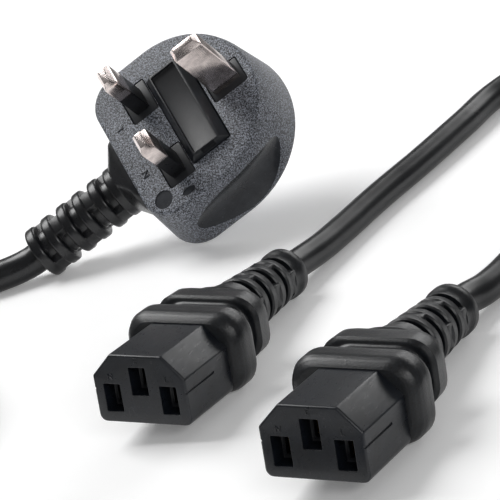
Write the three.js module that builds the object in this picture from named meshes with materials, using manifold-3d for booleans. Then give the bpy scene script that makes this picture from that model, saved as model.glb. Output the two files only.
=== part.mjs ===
// A power cord splitter: one fused three-pin plug, a cord that forks in a moulded junction,
// and two appliance connectors. Millimetres, +Z up, standing on the floor at z = 0.
// The connectors' fronts face -Y and their cords leave towards +Y.
import * as THREE from 'three';
import { mergeVertices } from 'three/addons/utils/BufferGeometryUtils.js';
import Module from 'manifold-3d';

const wasm = await Module();
wasm.setup();

// Driving dimensions
const GAP = 0.3;                 // clearance between pieces that seat in each other

const PLUG = {
  halfWidth: 24.5,               // radius of the round end, and half the width
  roundX: 7,                     // centre of the round end, from the live and neutral pins
  cableX: -13.6,                 // the end that the cord leaves
  corner: 10,                    // radius of the two corners there
  thickness: 20,
  faceInset: 1.7,                // how far the face's edge lies inside the widest outline
  edge: 0.7,                     // chamfer round the face
  bandDepth: 2.4,                // the upright band under the face
  dome: 3,                       // height of the rounded back
};
const GRIP = { depth: 2.6, height: 15.5, middleZ: -9.2, startX: -9, endAngle: 36 };
const PIN = { offset: 11.1, thick: 4, wide: 6.35, length: 17.7, tip: 1.5, root: 9 };
const EARTH = { x: 22.2, thick: 8, wide: 4, length: 22.7, tip: 1.7, root: 9 };
const SLEEVE = { length: 9.2, wall: 0.55, root: 2.6 };
const BRIDGE = { top: 3.2, thick: 2.4, inset: 5.2, endX: -5.2 };
const SEAT = { margin: 1.9, earthMargin: 1.3, earthGap: 1.2 };  // the flush patch round each pin's base
const CARRIER = {
  x0: 4.4, x1: 16, halfY: 14.3, rise: 2, depth: 2, panel: 0.8, lip: 0.9,
  nearSlope: 1.4, farSlope: 2, endSlope: 0.5, notchHalf: 2, notchDeep: 0.9,
  claw: { y: 4.6, halfX: 4.4, halfY: 1.6 },
};
const FUSE = { radius: 3.15, length: 25.4, cap: 5.6, capWall: 0.6, z: -5.6 };
const CHAMBER = { halfX: 4.8, halfY: 14, depth: 10.1 };
const CLIP = { wide: 3.6, strip: 0.6, armTop: -3.1 };
const RELIEF = {
  z: -11, collar: 6, rings: 5, ring: 3, slot: 2.2, radius: 7.1, core: 4.9, web: 4.8, webDrop: 0.5,
};

const BLOCK = { halfX: 11.5, height: 15.6, length: 18.2, chamfer: 5, foot: 1.4, edge: 0.6 };
const TENON = { halfX: 10.3, low: 1.8, high: 13.9, length: 6.6 };
const SLOT = { pitch: 7, earthZ: 9.7, lineZ: 5.7, wide: 4.2, tall: 6.4, pit: 4, hole: 2.6, lip: 1 };
const CONTACT = { wide: 3.6, tall: 5.6, wall: 0.5, length: 12, barrel: 1.5, barrelLength: 6 };
const GROOVE = { z: 7.6, wide: 0.6, deep: 0.4, length: 12 };
const FLANGE = { halfX: 14.5, low: -1, high: 17.5, thick: 7.5, corner: 6 };
const WAIST = { halfX: 10.8, low: 2.6, high: 15.8, length: 4.6 };
const HANDLE = { halfX: 13, low: 2.3, high: 17.3, length: 6.4, corner: 5.5 };
const TAIL = { z: 9.2, start: 7.2, end: 5.6, collar: 4, slots: 5, slot: 1.7, land: 2.7, ring: 2.6, core: 4.4 };

const TRUNK = 8;                 // cord diameters
const LEG = 7.2;
const JUNCTION = {
  length: 40, halfTrunk: 8.5, halfLegs: 17.5, height: 14, legPitch: 18, corner: 5,
  stub: 15, stubStart: 6.4, stubEnd: 5.4, grooves: 3, groove: 1.4, grooveDeep: 0.9,
};
const COIL = { x: -96, y: -187, radius: 40.4, halfBand: 13.3, low: 1.2, height: 16.6, edge: 2 };
const TIE = { thick: 0.8, wide: 9, slack: 0.6 };  // the slack clears the ring's round inner side

// Where the pieces lie, before the whole is centred over its origin
const PLUG_AT = { x: -38.3, y: -73.9, turn: 29.13, lean: -21.01, roll: 40.77 };
const CONNECTOR_A = { x: 9.1, y: -180.2 };
const CONNECTOR_B = { x: 64.6, y: -207.2 };
const CONNECTOR_LIE = { pitch: -7, roll: 6.3 };
const JUNCTION_AT = { x: 116.5, y: -132, turn: 90 };

const black = new THREE.MeshStandardMaterial({ color: 0x17181b, roughness: 0.62 });
const slate = new THREE.MeshStandardMaterial({ color: 0x24272c, roughness: 0.42 });
const sleeveBlack = new THREE.MeshStandardMaterial({ color: 0x0e0e10, roughness: 0.4 });
const strap = new THREE.MeshStandardMaterial({ color: 0x0e0e10, roughness: 0.5 });
const nickel = new THREE.MeshStandardMaterial({ color: 0xcbb9ae, roughness: 0.3, metalness: 1 });
const brass = new THREE.MeshStandardMaterial({ color: 0xc9a24c, roughness: 0.35, metalness: 1 });
const ceramic = new THREE.MeshStandardMaterial({ color: 0xe8e4da, roughness: 0.5 });
const sheath = new THREE.MeshStandardMaterial({ color: 0x141519, roughness: 0.35 });

// Solids

function solid(geometry) {
  const bare = geometry.index ? geometry : geometry.clone();
  bare.deleteAttribute('normal');
  bare.deleteAttribute('uv');
  const merged = mergeVertices(bare, 1e-4);
  return new wasm.Manifold(new wasm.Mesh({
    numProp: 3,
    vertProperties: new Float32Array(merged.attributes.position.array),
    triVerts: new Uint32Array(merged.index.array),
  }));
}

function geometryOf(manifold) {
  const { vertProperties, triVerts } = manifold.getMesh();
  const geometry = new THREE.BufferGeometry();
  geometry.setAttribute('position', new THREE.BufferAttribute(new Float32Array(vertProperties), 3));
  geometry.setIndex(new THREE.BufferAttribute(new Uint32Array(triVerts), 1));
  return geometry;
}

function piece(name, manifold, material) {
  const mesh = new THREE.Mesh(geometryOf(manifold), material);
  mesh.name = name;
  return mesh;
}

function box(x0, x1, y0, y1, z0, z1) {
  const geometry = new THREE.BoxGeometry(x1 - x0, y1 - y0, z1 - z0);
  geometry.translate((x0 + x1) / 2, (y0 + y1) / 2, (z0 + z1) / 2);
  return solid(geometry);
}

function join(solids) {
  return solids.reduce((whole, next) => whole.add(next));
}

// A closed skin through rings of points that follow each other, all of one length and convex
function loft(rings) {
  const count = rings[0].length;
  const faces = [];
  for (let r = 0; r + 1 < rings.length; r++) {
    for (let i = 0; i < count; i++) {
      const a = r * count + i;
      const b = r * count + (i + 1) % count;
      faces.push(a, b, b + count, a, b + count, a + count);
    }
  }
  const last = (rings.length - 1) * count;
  for (let i = 1; i + 1 < count; i++) {
    faces.push(0, i + 1, i, last, last + i, last + i + 1);
  }
  const points = rings.flat();
  if (signedVolume(points, faces) < 0) faces.reverse();
  const geometry = new THREE.BufferGeometry().setFromPoints(points);
  geometry.setIndex(faces);
  return solid(geometry);
}

function signedVolume(points, faces) {
  let sum = 0;
  for (let i = 0; i < faces.length; i += 3) {
    const [a, b, c] = [points[faces[i]], points[faces[i + 1]], points[faces[i + 2]]];
    sum += a.dot(b.clone().cross(c));
  }
  return sum;
}

// A profile of [radius, height] pairs turned about the z axis
function turned(profile, segments = 24) {
  const geometry = new THREE.LatheGeometry(profile.map(([r, h]) => new THREE.Vector2(r, h)), segments);
  return solid(geometry.rotateX(Math.PI / 2));
}

// Points round a rectangle with rounded corners, as [across, up] pairs
function roundedOutline(halfWidth, low, high, radius, steps = 4) {
  const r = Math.min(radius, halfWidth, (high - low) / 2);
  const centres = [
    [halfWidth - r, high - r], [r - halfWidth, high - r],
    [r - halfWidth, low + r], [halfWidth - r, low + r],
  ];
  return centres.flatMap(([x, z], corner) => Array.from({ length: steps + 1 }, (_, i) => {
    const angle = (corner + i / steps) * Math.PI / 2;
    return [x + r * Math.cos(angle), z + r * Math.sin(angle)];
  }));
}

function along(y, outline) {
  return outline.map(([x, z]) => new THREE.Vector3(x, y, z));
}

// A bar along z with a rectangular section and a chamfered tip
function bar(thick, wide, low, high, tip) {
  const section = (z, inset) => [[1, 1], [-1, 1], [-1, -1], [1, -1]].map(
    ([sx, sy]) => new THREE.Vector3(sx * (thick / 2 - inset), sy * (wide / 2 - inset), z));
  return loft([section(low, 0), section(high - tip, 0), section(high, tip * 0.62)]);
}

// Plug

function plugOutline(inset, z, endX = PLUG.cableX + inset) {
  const radius = PLUG.halfWidth - inset;
  const corner = Math.max(PLUG.corner - inset, 1);
  const points = [];
  const arc = (x, y, r, from, to, steps) => {
    for (let i = 0; i <= steps; i++) {
      const angle = THREE.MathUtils.degToRad(from + (to - from) * i / steps);
      points.push(new THREE.Vector3(x + r * Math.cos(angle), y + r * Math.sin(angle), z));
    }
  };
  arc(PLUG.roundX, 0, radius, -90, 90, 22);
  arc(endX + corner, radius - corner, corner, 90, 180, 5);
  arc(endX + corner, corner - radius, corner, 180, 270, 5);
  return points;
}

function plugShell() {
  const { faceInset, edge, bandDepth, thickness, dome } = PLUG;
  return loft([
    plugOutline(faceInset + edge, 0),
    plugOutline(faceInset, -edge),
    plugOutline(faceInset * 0.75, -bandDepth),
    plugOutline(0, dome - thickness),
    plugOutline(dome * 0.25, dome * 0.5 - thickness),
    plugOutline(dome * 0.9, dome * 0.13 - thickness),
    plugOutline(dome * 2, -thickness),
  ]);
}

// A thumb hollow: ellipses carried along one flank, sunk deepest half way
function gripHollow(side) {
  const straight = PLUG.roundX - GRIP.startX;
  const bend = THREE.MathUtils.degToRad(90 - GRIP.endAngle);
  const total = straight + bend * PLUG.halfWidth;
  const stand = 5;
  const stations = 16;
  const around = 16;
  const rings = [];
  for (let s = 0; s <= stations; s++) {
    const share = s / stations;
    const travel = share * total;
    const angle = travel < straight ? 0 : (travel - straight) / PLUG.halfWidth;
    const normal = [Math.sin(angle), Math.cos(angle)];
    const foot = travel < straight
      ? [GRIP.startX + travel, PLUG.halfWidth]
      : [PLUG.roundX + PLUG.halfWidth * normal[0], PLUG.halfWidth * normal[1]];
    const swell = Math.sin(Math.PI * share);
    const reach = stand - 0.4 + (GRIP.depth + 0.4) * swell ** 0.8;
    const half = GRIP.height * 0.66 * (0.42 + 0.58 * swell);
    rings.push(Array.from({ length: around }, (_, i) => {
      const a = 2 * Math.PI * i / around;
      const out = stand + reach * Math.cos(a);
      return new THREE.Vector3(
        foot[0] + normal[0] * out,
        side * (foot[1] + normal[1] * out),
        GRIP.middleZ + half * Math.sin(a),
      );
    }));
  }
  return loft(rings);
}

// The cord's bend relief: a collar and rings on a core, held by webs that alternate
function plugRelief() {
  const { collar, rings, ring, slot, radius, core, web, webDrop, z } = RELIEF;
  const soft = 0.45;
  const profile = [[0, -6], [radius, -6], [radius, collar - soft], [radius - soft, collar]];
  const webs = [];
  let x = collar;
  for (let i = 0; i < rings; i++) {
    profile.push([core, x], [core, x + slot]);
    profile.push([radius - soft, x + slot], [radius, x + slot + soft]);
    profile.push([radius, x + slot + ring - soft], [radius - soft, x + slot + ring]);
    const reach = radius - webDrop;
    webs.push(i % 2 === 0
      ? box(-web / 2, web / 2, -reach, reach, x - 0.2, x + slot + 0.2)
      : box(-reach, reach, -web / 2, web / 2, x - 0.2, x + slot + 0.2));
    x += slot + ring;
  }
  profile.push([0, x]);
  return join([turned(profile), ...webs])
    .rotate([0, -90, 0])
    .translate([PLUG.cableX, 0, z]);
}

function reliefLength() {
  return RELIEF.collar + RELIEF.rings * (RELIEF.slot + RELIEF.ring);
}

// The shoulder that runs from the shell down to the collar
function plugNeck() {
  const at = (x, half, low, high, r) => roundedOutline(half, low, high, r, 6).map(
    ([y, z]) => new THREE.Vector3(PLUG.cableX + x, y, z));
  const { z, radius } = RELIEF;
  return loft([
    at(5, 13.5, 1.2 - PLUG.thickness, -1.4, 6),
    at(-0.2, 11.5, z - radius - 0.4, z + radius + 1.2, 6),
    at(-3.6, radius, z - radius, z + radius, radius),
  ]);
}

function bossBoxes(margin, low, high) {
  const line = (side) => box(
    -PIN.thick / 2 - SEAT.margin - margin, CARRIER.x0 - GAP * 2 + margin,
    side * PIN.offset - PIN.wide / 2 - SEAT.margin - margin,
    side * PIN.offset + PIN.wide / 2 + SEAT.margin + margin,
    low, high,
  );
  const earth = box(
    CARRIER.x1 + SEAT.earthGap - margin, EARTH.x + EARTH.thick / 2 + SEAT.earthMargin + margin,
    -EARTH.wide / 2 - SEAT.margin - margin, EARTH.wide / 2 + SEAT.margin + margin,
    low, high,
  );
  return join([line(1), line(-1), earth]);
}

function bridgePlate(margin) {
  const low = -BRIDGE.top - BRIDGE.thick - margin;
  const high = -BRIDGE.top + margin;
  return loft([
    plugOutline(BRIDGE.inset - margin, low, BRIDGE.endX - margin),
    plugOutline(BRIDGE.inset - margin, high, BRIDGE.endX - margin),
  ]);
}

function fuseWell(margin) {
  const x = (CARRIER.x0 + CARRIER.x1) / 2;
  const head = box(
    CARRIER.x0 - margin, CARRIER.x1 + margin, -CARRIER.halfY - margin, CARRIER.halfY + margin,
    -CARRIER.depth - margin, 1,
  );
  const chamber = box(
    x - CHAMBER.halfX, x + CHAMBER.halfX, -CHAMBER.halfY, CHAMBER.halfY, -CHAMBER.depth, 0,
  );
  return head.add(chamber);
}

function pinHoles(margin, low = -PLUG.thickness / 2 - 2) {
  const line = (side) => box(
    -PIN.thick / 2 - margin, PIN.thick / 2 + margin,
    side * PIN.offset - PIN.wide / 2 - margin, side * PIN.offset + PIN.wide / 2 + margin, low, 1,
  );
  const earth = box(
    EARTH.x - EARTH.thick / 2 - margin, EARTH.x + EARTH.thick / 2 + margin,
    -EARTH.wide / 2 - margin, EARTH.wide / 2 + margin, low, 1,
  );
  return join([line(1), line(-1), earth]);
}

function plugBody() {
  const cavity = bridgePlate(GAP).add(bossBoxes(GAP, -BRIDGE.top - 1, 1));
  const sockets = pinHoles(GAP, -PIN.root - GAP);
  return join([plugShell(), plugNeck(), plugRelief()])
    .subtract(gripHollow(1))
    .subtract(gripHollow(-1))
    .subtract(cavity)
    .subtract(sockets)
    .subtract(fuseWell(GAP));
}

function pinBridge() {
  return bridgePlate(0)
    .add(bossBoxes(0, -BRIDGE.top - 1, 0))
    .subtract(fuseWell(GAP))
    .subtract(pinHoles(GAP));
}

function linePin() {
  const neck = PIN.thick - 2 * (SLEEVE.wall + GAP);
  const neckWide = PIN.wide - 2 * (SLEEVE.wall + GAP);
  return join([
    bar(PIN.thick, PIN.wide, SLEEVE.length + GAP, PIN.length, PIN.tip),
    box(-neck / 2, neck / 2, -neckWide / 2, neckWide / 2, -SLEEVE.root - 1, SLEEVE.length + 1),
    box(-PIN.thick / 2, PIN.thick / 2, -PIN.wide / 2, PIN.wide / 2, -PIN.root, -SLEEVE.root - GAP),
  ]);
}

function pinSleeve() {
  const inner = SLEEVE.wall;
  return box(-PIN.thick / 2, PIN.thick / 2, -PIN.wide / 2, PIN.wide / 2, -SLEEVE.root, SLEEVE.length)
    .subtract(box(inner - PIN.thick / 2, PIN.thick / 2 - inner, inner - PIN.wide / 2,
      PIN.wide / 2 - inner, -SLEEVE.root - 1, SLEEVE.length + 1));
}

function fuseCentreX() {
  return (CARRIER.x0 + CARRIER.x1) / 2;
}

function rodAlongY(radius, y0, y1, x, z, segments = 20) {
  return turned([[0, y0], [radius, y0], [radius, y1], [0, y1]], segments)
    .rotate([-90, 0, 0])
    .translate([x, 0, z]);
}

// The carrier's head with sloping sides and a sunk panel, and two claws that hold the fuse
function fuseCarrier() {
  const { x0, x1, halfY, rise, depth, panel, lip, nearSlope, farSlope, endSlope, claw } = CARRIER;
  const ring = (z, nearIn, farIn, endIn) => [
    [x1 - farIn, halfY - endIn], [x0 + nearIn, halfY - endIn],
    [x0 + nearIn, endIn - halfY], [x1 - farIn, endIn - halfY],
  ].map(([x, y]) => new THREE.Vector3(x, y, z));
  const head = loft([ring(-depth, 0, 0, 0), ring(0.2, 0, 0, 0), ring(rise, nearSlope, farSlope, endSlope)]);
  const sideLip = lip * 0.6;
  const sunk = box(x0 + nearSlope + sideLip, x1 - farSlope - sideLip, endSlope + lip - halfY,
    halfY - endSlope - lip, rise - panel, rise + 1);
  const x = fuseCentreX();
  const notch = (side) => box(x - CARRIER.notchHalf, x + CARRIER.notchHalf,
    side * halfY - CARRIER.notchDeep, side * halfY + CARRIER.notchDeep, 0.4, rise + 1);
  const bottom = FUSE.z - FUSE.radius * 0.62;
  const holder = (side) => box(x - claw.halfX, x + claw.halfX, side * claw.y - claw.halfY,
    side * claw.y + claw.halfY, bottom, 0.1 - depth);
  return join([head, holder(1), holder(-1)])
    .subtract(sunk)
    .subtract(notch(1))
    .subtract(notch(-1))
    .subtract(rodAlongY(FUSE.radius + GAP, -halfY, halfY, x, FUSE.z));
}

function fuseTube() {
  const x = fuseCentreX();
  const inner = FUSE.length / 2 - FUSE.cap - GAP;
  const end = FUSE.length / 2 - FUSE.capWall - GAP;
  const spigot = FUSE.radius - FUSE.capWall - GAP;
  return rodAlongY(FUSE.radius - 0.1, -inner, inner, x, FUSE.z)
    .add(rodAlongY(spigot, -end, end, x, FUSE.z));
}

function fuseCap(side) {
  const x = fuseCentreX();
  const end = FUSE.length / 2;
  const open = end - FUSE.cap;
  const cup = rodAlongY(FUSE.radius, open, end, x, FUSE.z)
    .subtract(rodAlongY(FUSE.radius - FUSE.capWall, open - 1, end - FUSE.capWall, x, FUSE.z));
  return side > 0 ? cup : cup.mirror([0, 1, 0]);
}

// A spring clip: a strip bent into a cradle under the cap, open towards the face
function fuseClip(side) {
  const x = fuseCentreX();
  const inner = FUSE.radius + GAP + 0.1;
  const outer = inner + CLIP.strip;
  const y = side * (FUSE.length / 2 - FUSE.cap / 2);
  const y0 = y - CLIP.wide / 2;
  const y1 = y + CLIP.wide / 2;
  const cradle = rodAlongY(outer, y0, y1, x, FUSE.z, 28)
    .subtract(rodAlongY(inner, y0 - 1, y1 + 1, x, FUSE.z, 28))
    .subtract(box(x - outer - 1, x + outer + 1, y0 - 1, y1 + 1, FUSE.z, 1));
  const arm = (s) => box(x + s * (inner + outer) / 2 - CLIP.strip / 2,
    x + s * (inner + outer) / 2 + CLIP.strip / 2, y0, y1, FUSE.z - 0.4, CLIP.armTop);
  return join([cradle, arm(1), arm(-1)]);
}

function buildPlug() {
  const plug = new THREE.Group();
  plug.add(piece('plug_body', plugBody(), black));
  plug.add(piece('pin_bridge', pinBridge(), slate));
  const earth = bar(EARTH.thick, EARTH.wide, -EARTH.root, EARTH.length, EARTH.tip);
  plug.add(piece('earth_pin', earth.translate([EARTH.x, 0, 0]), nickel));
  for (const [name, side] of [['live', 1], ['neutral', -1]]) {
    const place = [0, side * PIN.offset, 0];
    plug.add(piece(`${name}_pin`, linePin().translate(place), nickel));
    plug.add(piece(`${name}_sleeve`, pinSleeve().translate(place), sleeveBlack));
    plug.add(piece(`fuse_cap_${name}_side`, fuseCap(side), brass));
    plug.add(piece(`fuse_clip_${name}_side`, fuseClip(side), brass));
  }
  plug.add(piece('fuse_tube', fuseTube(), ceramic));
  plug.add(piece('fuse_carrier', fuseCarrier(), slate));
  return plug;
}

// Connector

function blockOutline(scale = 1) {
  const { halfX, height, chamfer, foot } = BLOCK;
  const middle = height / 2;
  return [
    [halfX, height - chamfer], [halfX - chamfer, height], [chamfer - halfX, height],
    [-halfX, height - chamfer], [-halfX, foot], [foot * 0.3 - halfX, foot * 0.3],
    [foot - halfX, 0], [halfX - foot, 0], [halfX - foot * 0.3, foot * 0.3], [halfX, foot],
  ].map(([x, z]) => [x * scale, middle + (z - middle) * scale]);
}

function slotCentres() {
  return [['neutral', -SLOT.pitch, SLOT.lineZ], ['earth', 0, SLOT.earthZ], ['live', SLOT.pitch, SLOT.lineZ]];
}

function connectorInsert() {
  const { length, edge, halfX } = BLOCK;
  let block = loft([
    along(0, blockOutline(1 - edge / halfX)),
    along(edge, blockOutline()),
    along(length, blockOutline()),
  ]).add(box(-TENON.halfX, TENON.halfX, length - 1, length + TENON.length, TENON.low, TENON.high));
  for (const [, x, z] of slotCentres()) {
    const cut = (wide, tall, y0, y1) => box(x - wide / 2, x + wide / 2, y0, y1, z - tall / 2, z + tall / 2);
    const cell = SLOT.pit + SLOT.lip;
    block = block
      .subtract(cut(SLOT.wide, SLOT.tall, -1, SLOT.pit))
      .subtract(cut(SLOT.hole, SLOT.hole + 2, SLOT.pit - 1, cell + 1))
      .subtract(cut(CONTACT.wide + 2 * GAP, CONTACT.tall + 2 * GAP, cell, length + TENON.length + 1));
  }
  for (const side of [1, -1]) {
    const x = side * halfX;
    block = block.subtract(box(x - GROOVE.deep, x + GROOVE.deep, -1, GROOVE.length,
      GROOVE.z - GROOVE.wide / 2, GROOVE.z + GROOVE.wide / 2));
  }
  return block;
}

// A folded socket with a crimp barrel behind it
function contact(x, z) {
  const { wide, tall, wall, length, barrel, barrelLength } = CONTACT;
  const y0 = SLOT.pit + SLOT.lip + GAP;
  const y1 = y0 + length;
  const tube = box(x - wide / 2, x + wide / 2, y0, y1, z - tall / 2, z + tall / 2)
    .subtract(box(x - wide / 2 + wall, x + wide / 2 - wall, y0 - 1, y1 - wall,
      z - tall / 2 + wall, z + tall / 2 - wall));
  return tube.add(rodAlongY(barrel, y1 - wall / 2, y1 + barrelLength, x, z, 12));
}

function tailLength() {
  return TAIL.collar + TAIL.slots * (TAIL.slot + TAIL.land) + TAIL.ring;
}

function tailStart() {
  return BLOCK.length + GAP + FLANGE.thick + WAIST.length + HANDLE.length + 2.4;
}

// The tapered bend relief, with slots that alternate between its top and its sides
function connectorTail() {
  const { start, end, collar, slots, slot, land, ring, core } = TAIL;
  const length = tailLength();
  const radiusAt = (y) => start + (end - start) * y / (length - ring);
  const profile = [[0, -3], [start, -3], [start, 0]];
  const webs = [];
  let y = collar;
  for (let i = 0; i < slots; i++) {
    profile.push([radiusAt(y), y], [core, y], [core, y + slot], [radiusAt(y + slot), y + slot]);
    const reach = radiusAt(y + slot) - 0.35;
    webs.push(i % 2 === 0
      ? box(-reach, reach, -2.6, 2.6, y - 0.2, y + slot + 0.2)
      : box(-2.6, 2.6, -reach, reach, y - 0.2, y + slot + 0.2));
    y += slot + land;
  }
  profile.push([end, y], [end + 0.5, y + 0.5], [end + 0.5, y + ring - 0.4], [end, y + ring], [0, y + ring]);
  return join([turned(profile, 20), ...webs])
    .rotate([-90, 0, 0])
    .translate([0, tailStart(), TAIL.z]);
}

function connectorBody() {
  const front = BLOCK.length + GAP;
  const waist = front + FLANGE.thick;
  const handle = waist + WAIST.length;
  const back = handle + HANDLE.length;
  const ring = (y, half, low, high, r) => along(y, roundedOutline(half, low, high, r));
  const rise = WAIST.high - BLOCK.height;
  const flange = [
    ring(front, FLANGE.halfX - 2.4, FLANGE.low + 1, BLOCK.height + rise, FLANGE.corner - 1),
    ring(front + 1.4, FLANGE.halfX - 0.4, FLANGE.low + 0.2, FLANGE.high - 0.7, FLANGE.corner),
    ring(front + 2.8, FLANGE.halfX, FLANGE.low, FLANGE.high, FLANGE.corner),
    ring(waist - 1.2, FLANGE.halfX, FLANGE.low, FLANGE.high, FLANGE.corner),
    ring(waist, FLANGE.halfX - 1.2, FLANGE.low + 0.8, FLANGE.high - 0.5, FLANGE.corner),
    ring(waist + 0.5, WAIST.halfX, WAIST.low, WAIST.high, FLANGE.corner),
  ];
  const grip = [
    ring(handle - 0.5, WAIST.halfX, WAIST.low, WAIST.high, FLANGE.corner),
    ring(handle, HANDLE.halfX - 0.8, HANDLE.low + 0.4, HANDLE.high - 0.4, HANDLE.corner),
    ring(handle + 1, HANDLE.halfX, HANDLE.low, HANDLE.high, HANDLE.corner),
    ring(back - 1.4, HANDLE.halfX - 0.3, HANDLE.low, HANDLE.high, HANDLE.corner),
    ring(back, HANDLE.halfX - 1.8, HANDLE.low + 0.8, HANDLE.high - 0.9, HANDLE.corner),
    ring(back + 2.4, TAIL.start + 0.6, TAIL.z - TAIL.start - 0.1, TAIL.z + TAIL.start + 0.1, TAIL.start),
    ring(back + 4.4, TAIL.start, TAIL.z - TAIL.start, TAIL.z + TAIL.start, TAIL.start),
  ];
  const pocket = box(-TENON.halfX - GAP, TENON.halfX + GAP, front - 1,
    BLOCK.length + TENON.length + GAP, TENON.low - GAP, TENON.high + GAP);
  return loft([...flange, ...grip]).add(connectorTail()).subtract(pocket);
}

function buildConnector(letter) {
  const connector = new THREE.Group();
  connector.add(piece(`connector_${letter}_body`, connectorBody(), black));
  connector.add(piece(`connector_${letter}_insert`, connectorInsert(), slate));
  for (const [line, x, z] of slotCentres()) {
    connector.add(piece(`connector_${letter}_${line}_contact`, contact(x, z), brass));
  }
  return connector;
}

// Junction, with the trunk at its -X end and the two legs at its +X end

function junctionStub(end, x, y) {
  const { stub, stubStart, stubEnd, grooves, groove, grooveDeep, height } = JUNCTION;
  const profile = [[0, -4], [stubStart, -4], [stubStart, 0]];
  const step = stub / (grooves + 1);
  const radiusAt = (h) => stubStart + (stubEnd - stubStart) * h / stub;
  for (let i = 1; i <= grooves; i++) {
    const h = i * step - groove / 2;
    profile.push([radiusAt(h), h], [radiusAt(h) - grooveDeep, h]);
    profile.push([radiusAt(h + groove) - grooveDeep, h + groove], [radiusAt(h + groove), h + groove]);
  }
  profile.push([stubEnd, stub], [0, stub]);
  return turned(profile, 18).rotate([0, end * 90, 0]).translate([x, y, height / 2]);
}

function junctionBody() {
  const { length, halfTrunk, halfLegs, height, legPitch, corner } = JUNCTION;
  const half = length / 2;
  const ring = (x, halfY, trim) => roundedOutline(halfY - trim, trim, height - trim, corner).map(
    ([y, z]) => new THREE.Vector3(x, y, z));
  const shell = loft([
    ring(-half, halfTrunk, 0.9),
    ring(1.5 - half, halfTrunk, 0),
    ring(half * 0.4, halfLegs, 0),
    ring(half - 1.5, halfLegs, 0),
    ring(half, halfLegs, 0.9),
  ]);
  return join([
    shell,
    junctionStub(-1, -half, 0),
    junctionStub(1, half, legPitch / 2),
    junctionStub(1, half, -legPitch / 2),
  ]);
}

// Cords

function cordSection(diameter, sides = 10) {
  const points = Array.from({ length: sides }, (_, i) => {
    const angle = 2 * Math.PI * i / sides;
    return new THREE.Vector2(diameter / 2 * Math.cos(angle), diameter / 2 * Math.sin(angle));
  });
  return new THREE.Shape(points);
}

function cord(name, diameter, points, steps) {
  const curve = new THREE.CatmullRomCurve3(points.map((p) => new THREE.Vector3(...p)), false, 'centripetal');
  const geometry = new THREE.ExtrudeGeometry(cordSection(diameter), {
    steps, bevelEnabled: false, extrudePath: curve,
  });
  return piece(name, solid(geometry), sheath);
}

// The first two points of a cord that leaves a relief, read off the piece that holds it
function leave(holder, exit, direction, reach = 5) {
  const start = new THREE.Vector3(...exit).addScaledVector(new THREE.Vector3(...direction), GAP);
  const next = start.clone().addScaledVector(new THREE.Vector3(...direction), reach);
  return [start, next].map((p) => holder.localToWorld(p).toArray());
}

// The outer shape of the coiled turns
function trunkCoil() {
  const { x, y, radius, halfBand, low, height, edge } = COIL;
  const inner = radius - halfBand;
  const outer = radius + halfBand;
  return turned([
    [inner, edge], [inner + edge, 0], [outer - edge, 0], [outer, edge],
    [outer, height - edge], [outer - edge, height], [inner + edge, height], [inner, height - edge],
    [inner, edge],
  ], 32).translate([x, y, low]);
}

// A strap closed round the turns
function coilTie() {
  const { x, y, radius, halfBand, low, height } = COIL;
  const loop = (margin) => box(
    x + radius - halfBand - TIE.slack - margin, x + radius + halfBand + margin,
    y - TIE.wide / 2, y + TIE.wide / 2, low - margin, low + height + margin,
  );
  return loop(GAP + TIE.thick).subtract(loop(GAP).scale([1, 2, 1]).translate([0, -y, 0]));
}

// Assembly

function settle(group) {
  group.updateMatrixWorld(true);
  const bounds = new THREE.Box3().setFromObject(group, true);
  group.position.z -= bounds.min.z;
  group.updateMatrixWorld(true);
}

function place(group, at, rotation) {
  group.position.set(at.x, at.y, 0);
  group.rotation.set(...rotation.map(THREE.MathUtils.degToRad), 'ZYX');
  settle(group);
}

const plug = buildPlug();
place(plug, PLUG_AT, [PLUG_AT.roll, PLUG_AT.lean, PLUG_AT.turn]);
const connectorA = buildConnector('a');
const connectorB = buildConnector('b');
connectorA.rotation.order = 'XYZ';
for (const [connector, at] of [[connectorA, CONNECTOR_A], [connectorB, CONNECTOR_B]]) {
  connector.position.set(at.x, at.y, 0);
  connector.rotation.set(
    THREE.MathUtils.degToRad(CONNECTOR_LIE.pitch), THREE.MathUtils.degToRad(CONNECTOR_LIE.roll), 0, 'XYZ');
  settle(connector);
}
const junction = new THREE.Group();
junction.add(piece('junction_body', junctionBody(), black));
place(junction, JUNCTION_AT, [0, 0, JUNCTION_AT.turn]);

const trunkExit = leave(plug, [PLUG.cableX - reliefLength(), 0, RELIEF.z], [-1, 0, 0], 3);
const tailExit = tailStart() + tailLength();
const legAExit = leave(connectorA, [0, tailExit, TAIL.z], [0, 1, 0]);
const legBExit = leave(connectorB, [0, tailExit, TAIL.z], [0, 1, 0]);
const stubEnd = JUNCTION.length / 2 + JUNCTION.stub;
const junctionZ = JUNCTION.height / 2;
const junctionTrunk = leave(junction, [-stubEnd, 0, junctionZ], [-1, 0, 0]).reverse();
const junctionLegA = leave(junction, [stubEnd, JUNCTION.legPitch / 2, junctionZ], [1, 0, 0]).reverse();
const junctionLegB = leave(junction, [stubEnd, -JUNCTION.legPitch / 2, junctionZ], [1, 0, 0]).reverse();

const trunkRest = TRUNK / 2 + 0.1;
const legRest = LEG / 2 + 0.1;
const onFloor = (points, rest) => points.map(([x, y, lift = 0]) => [x, y, rest + lift]);

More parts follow.
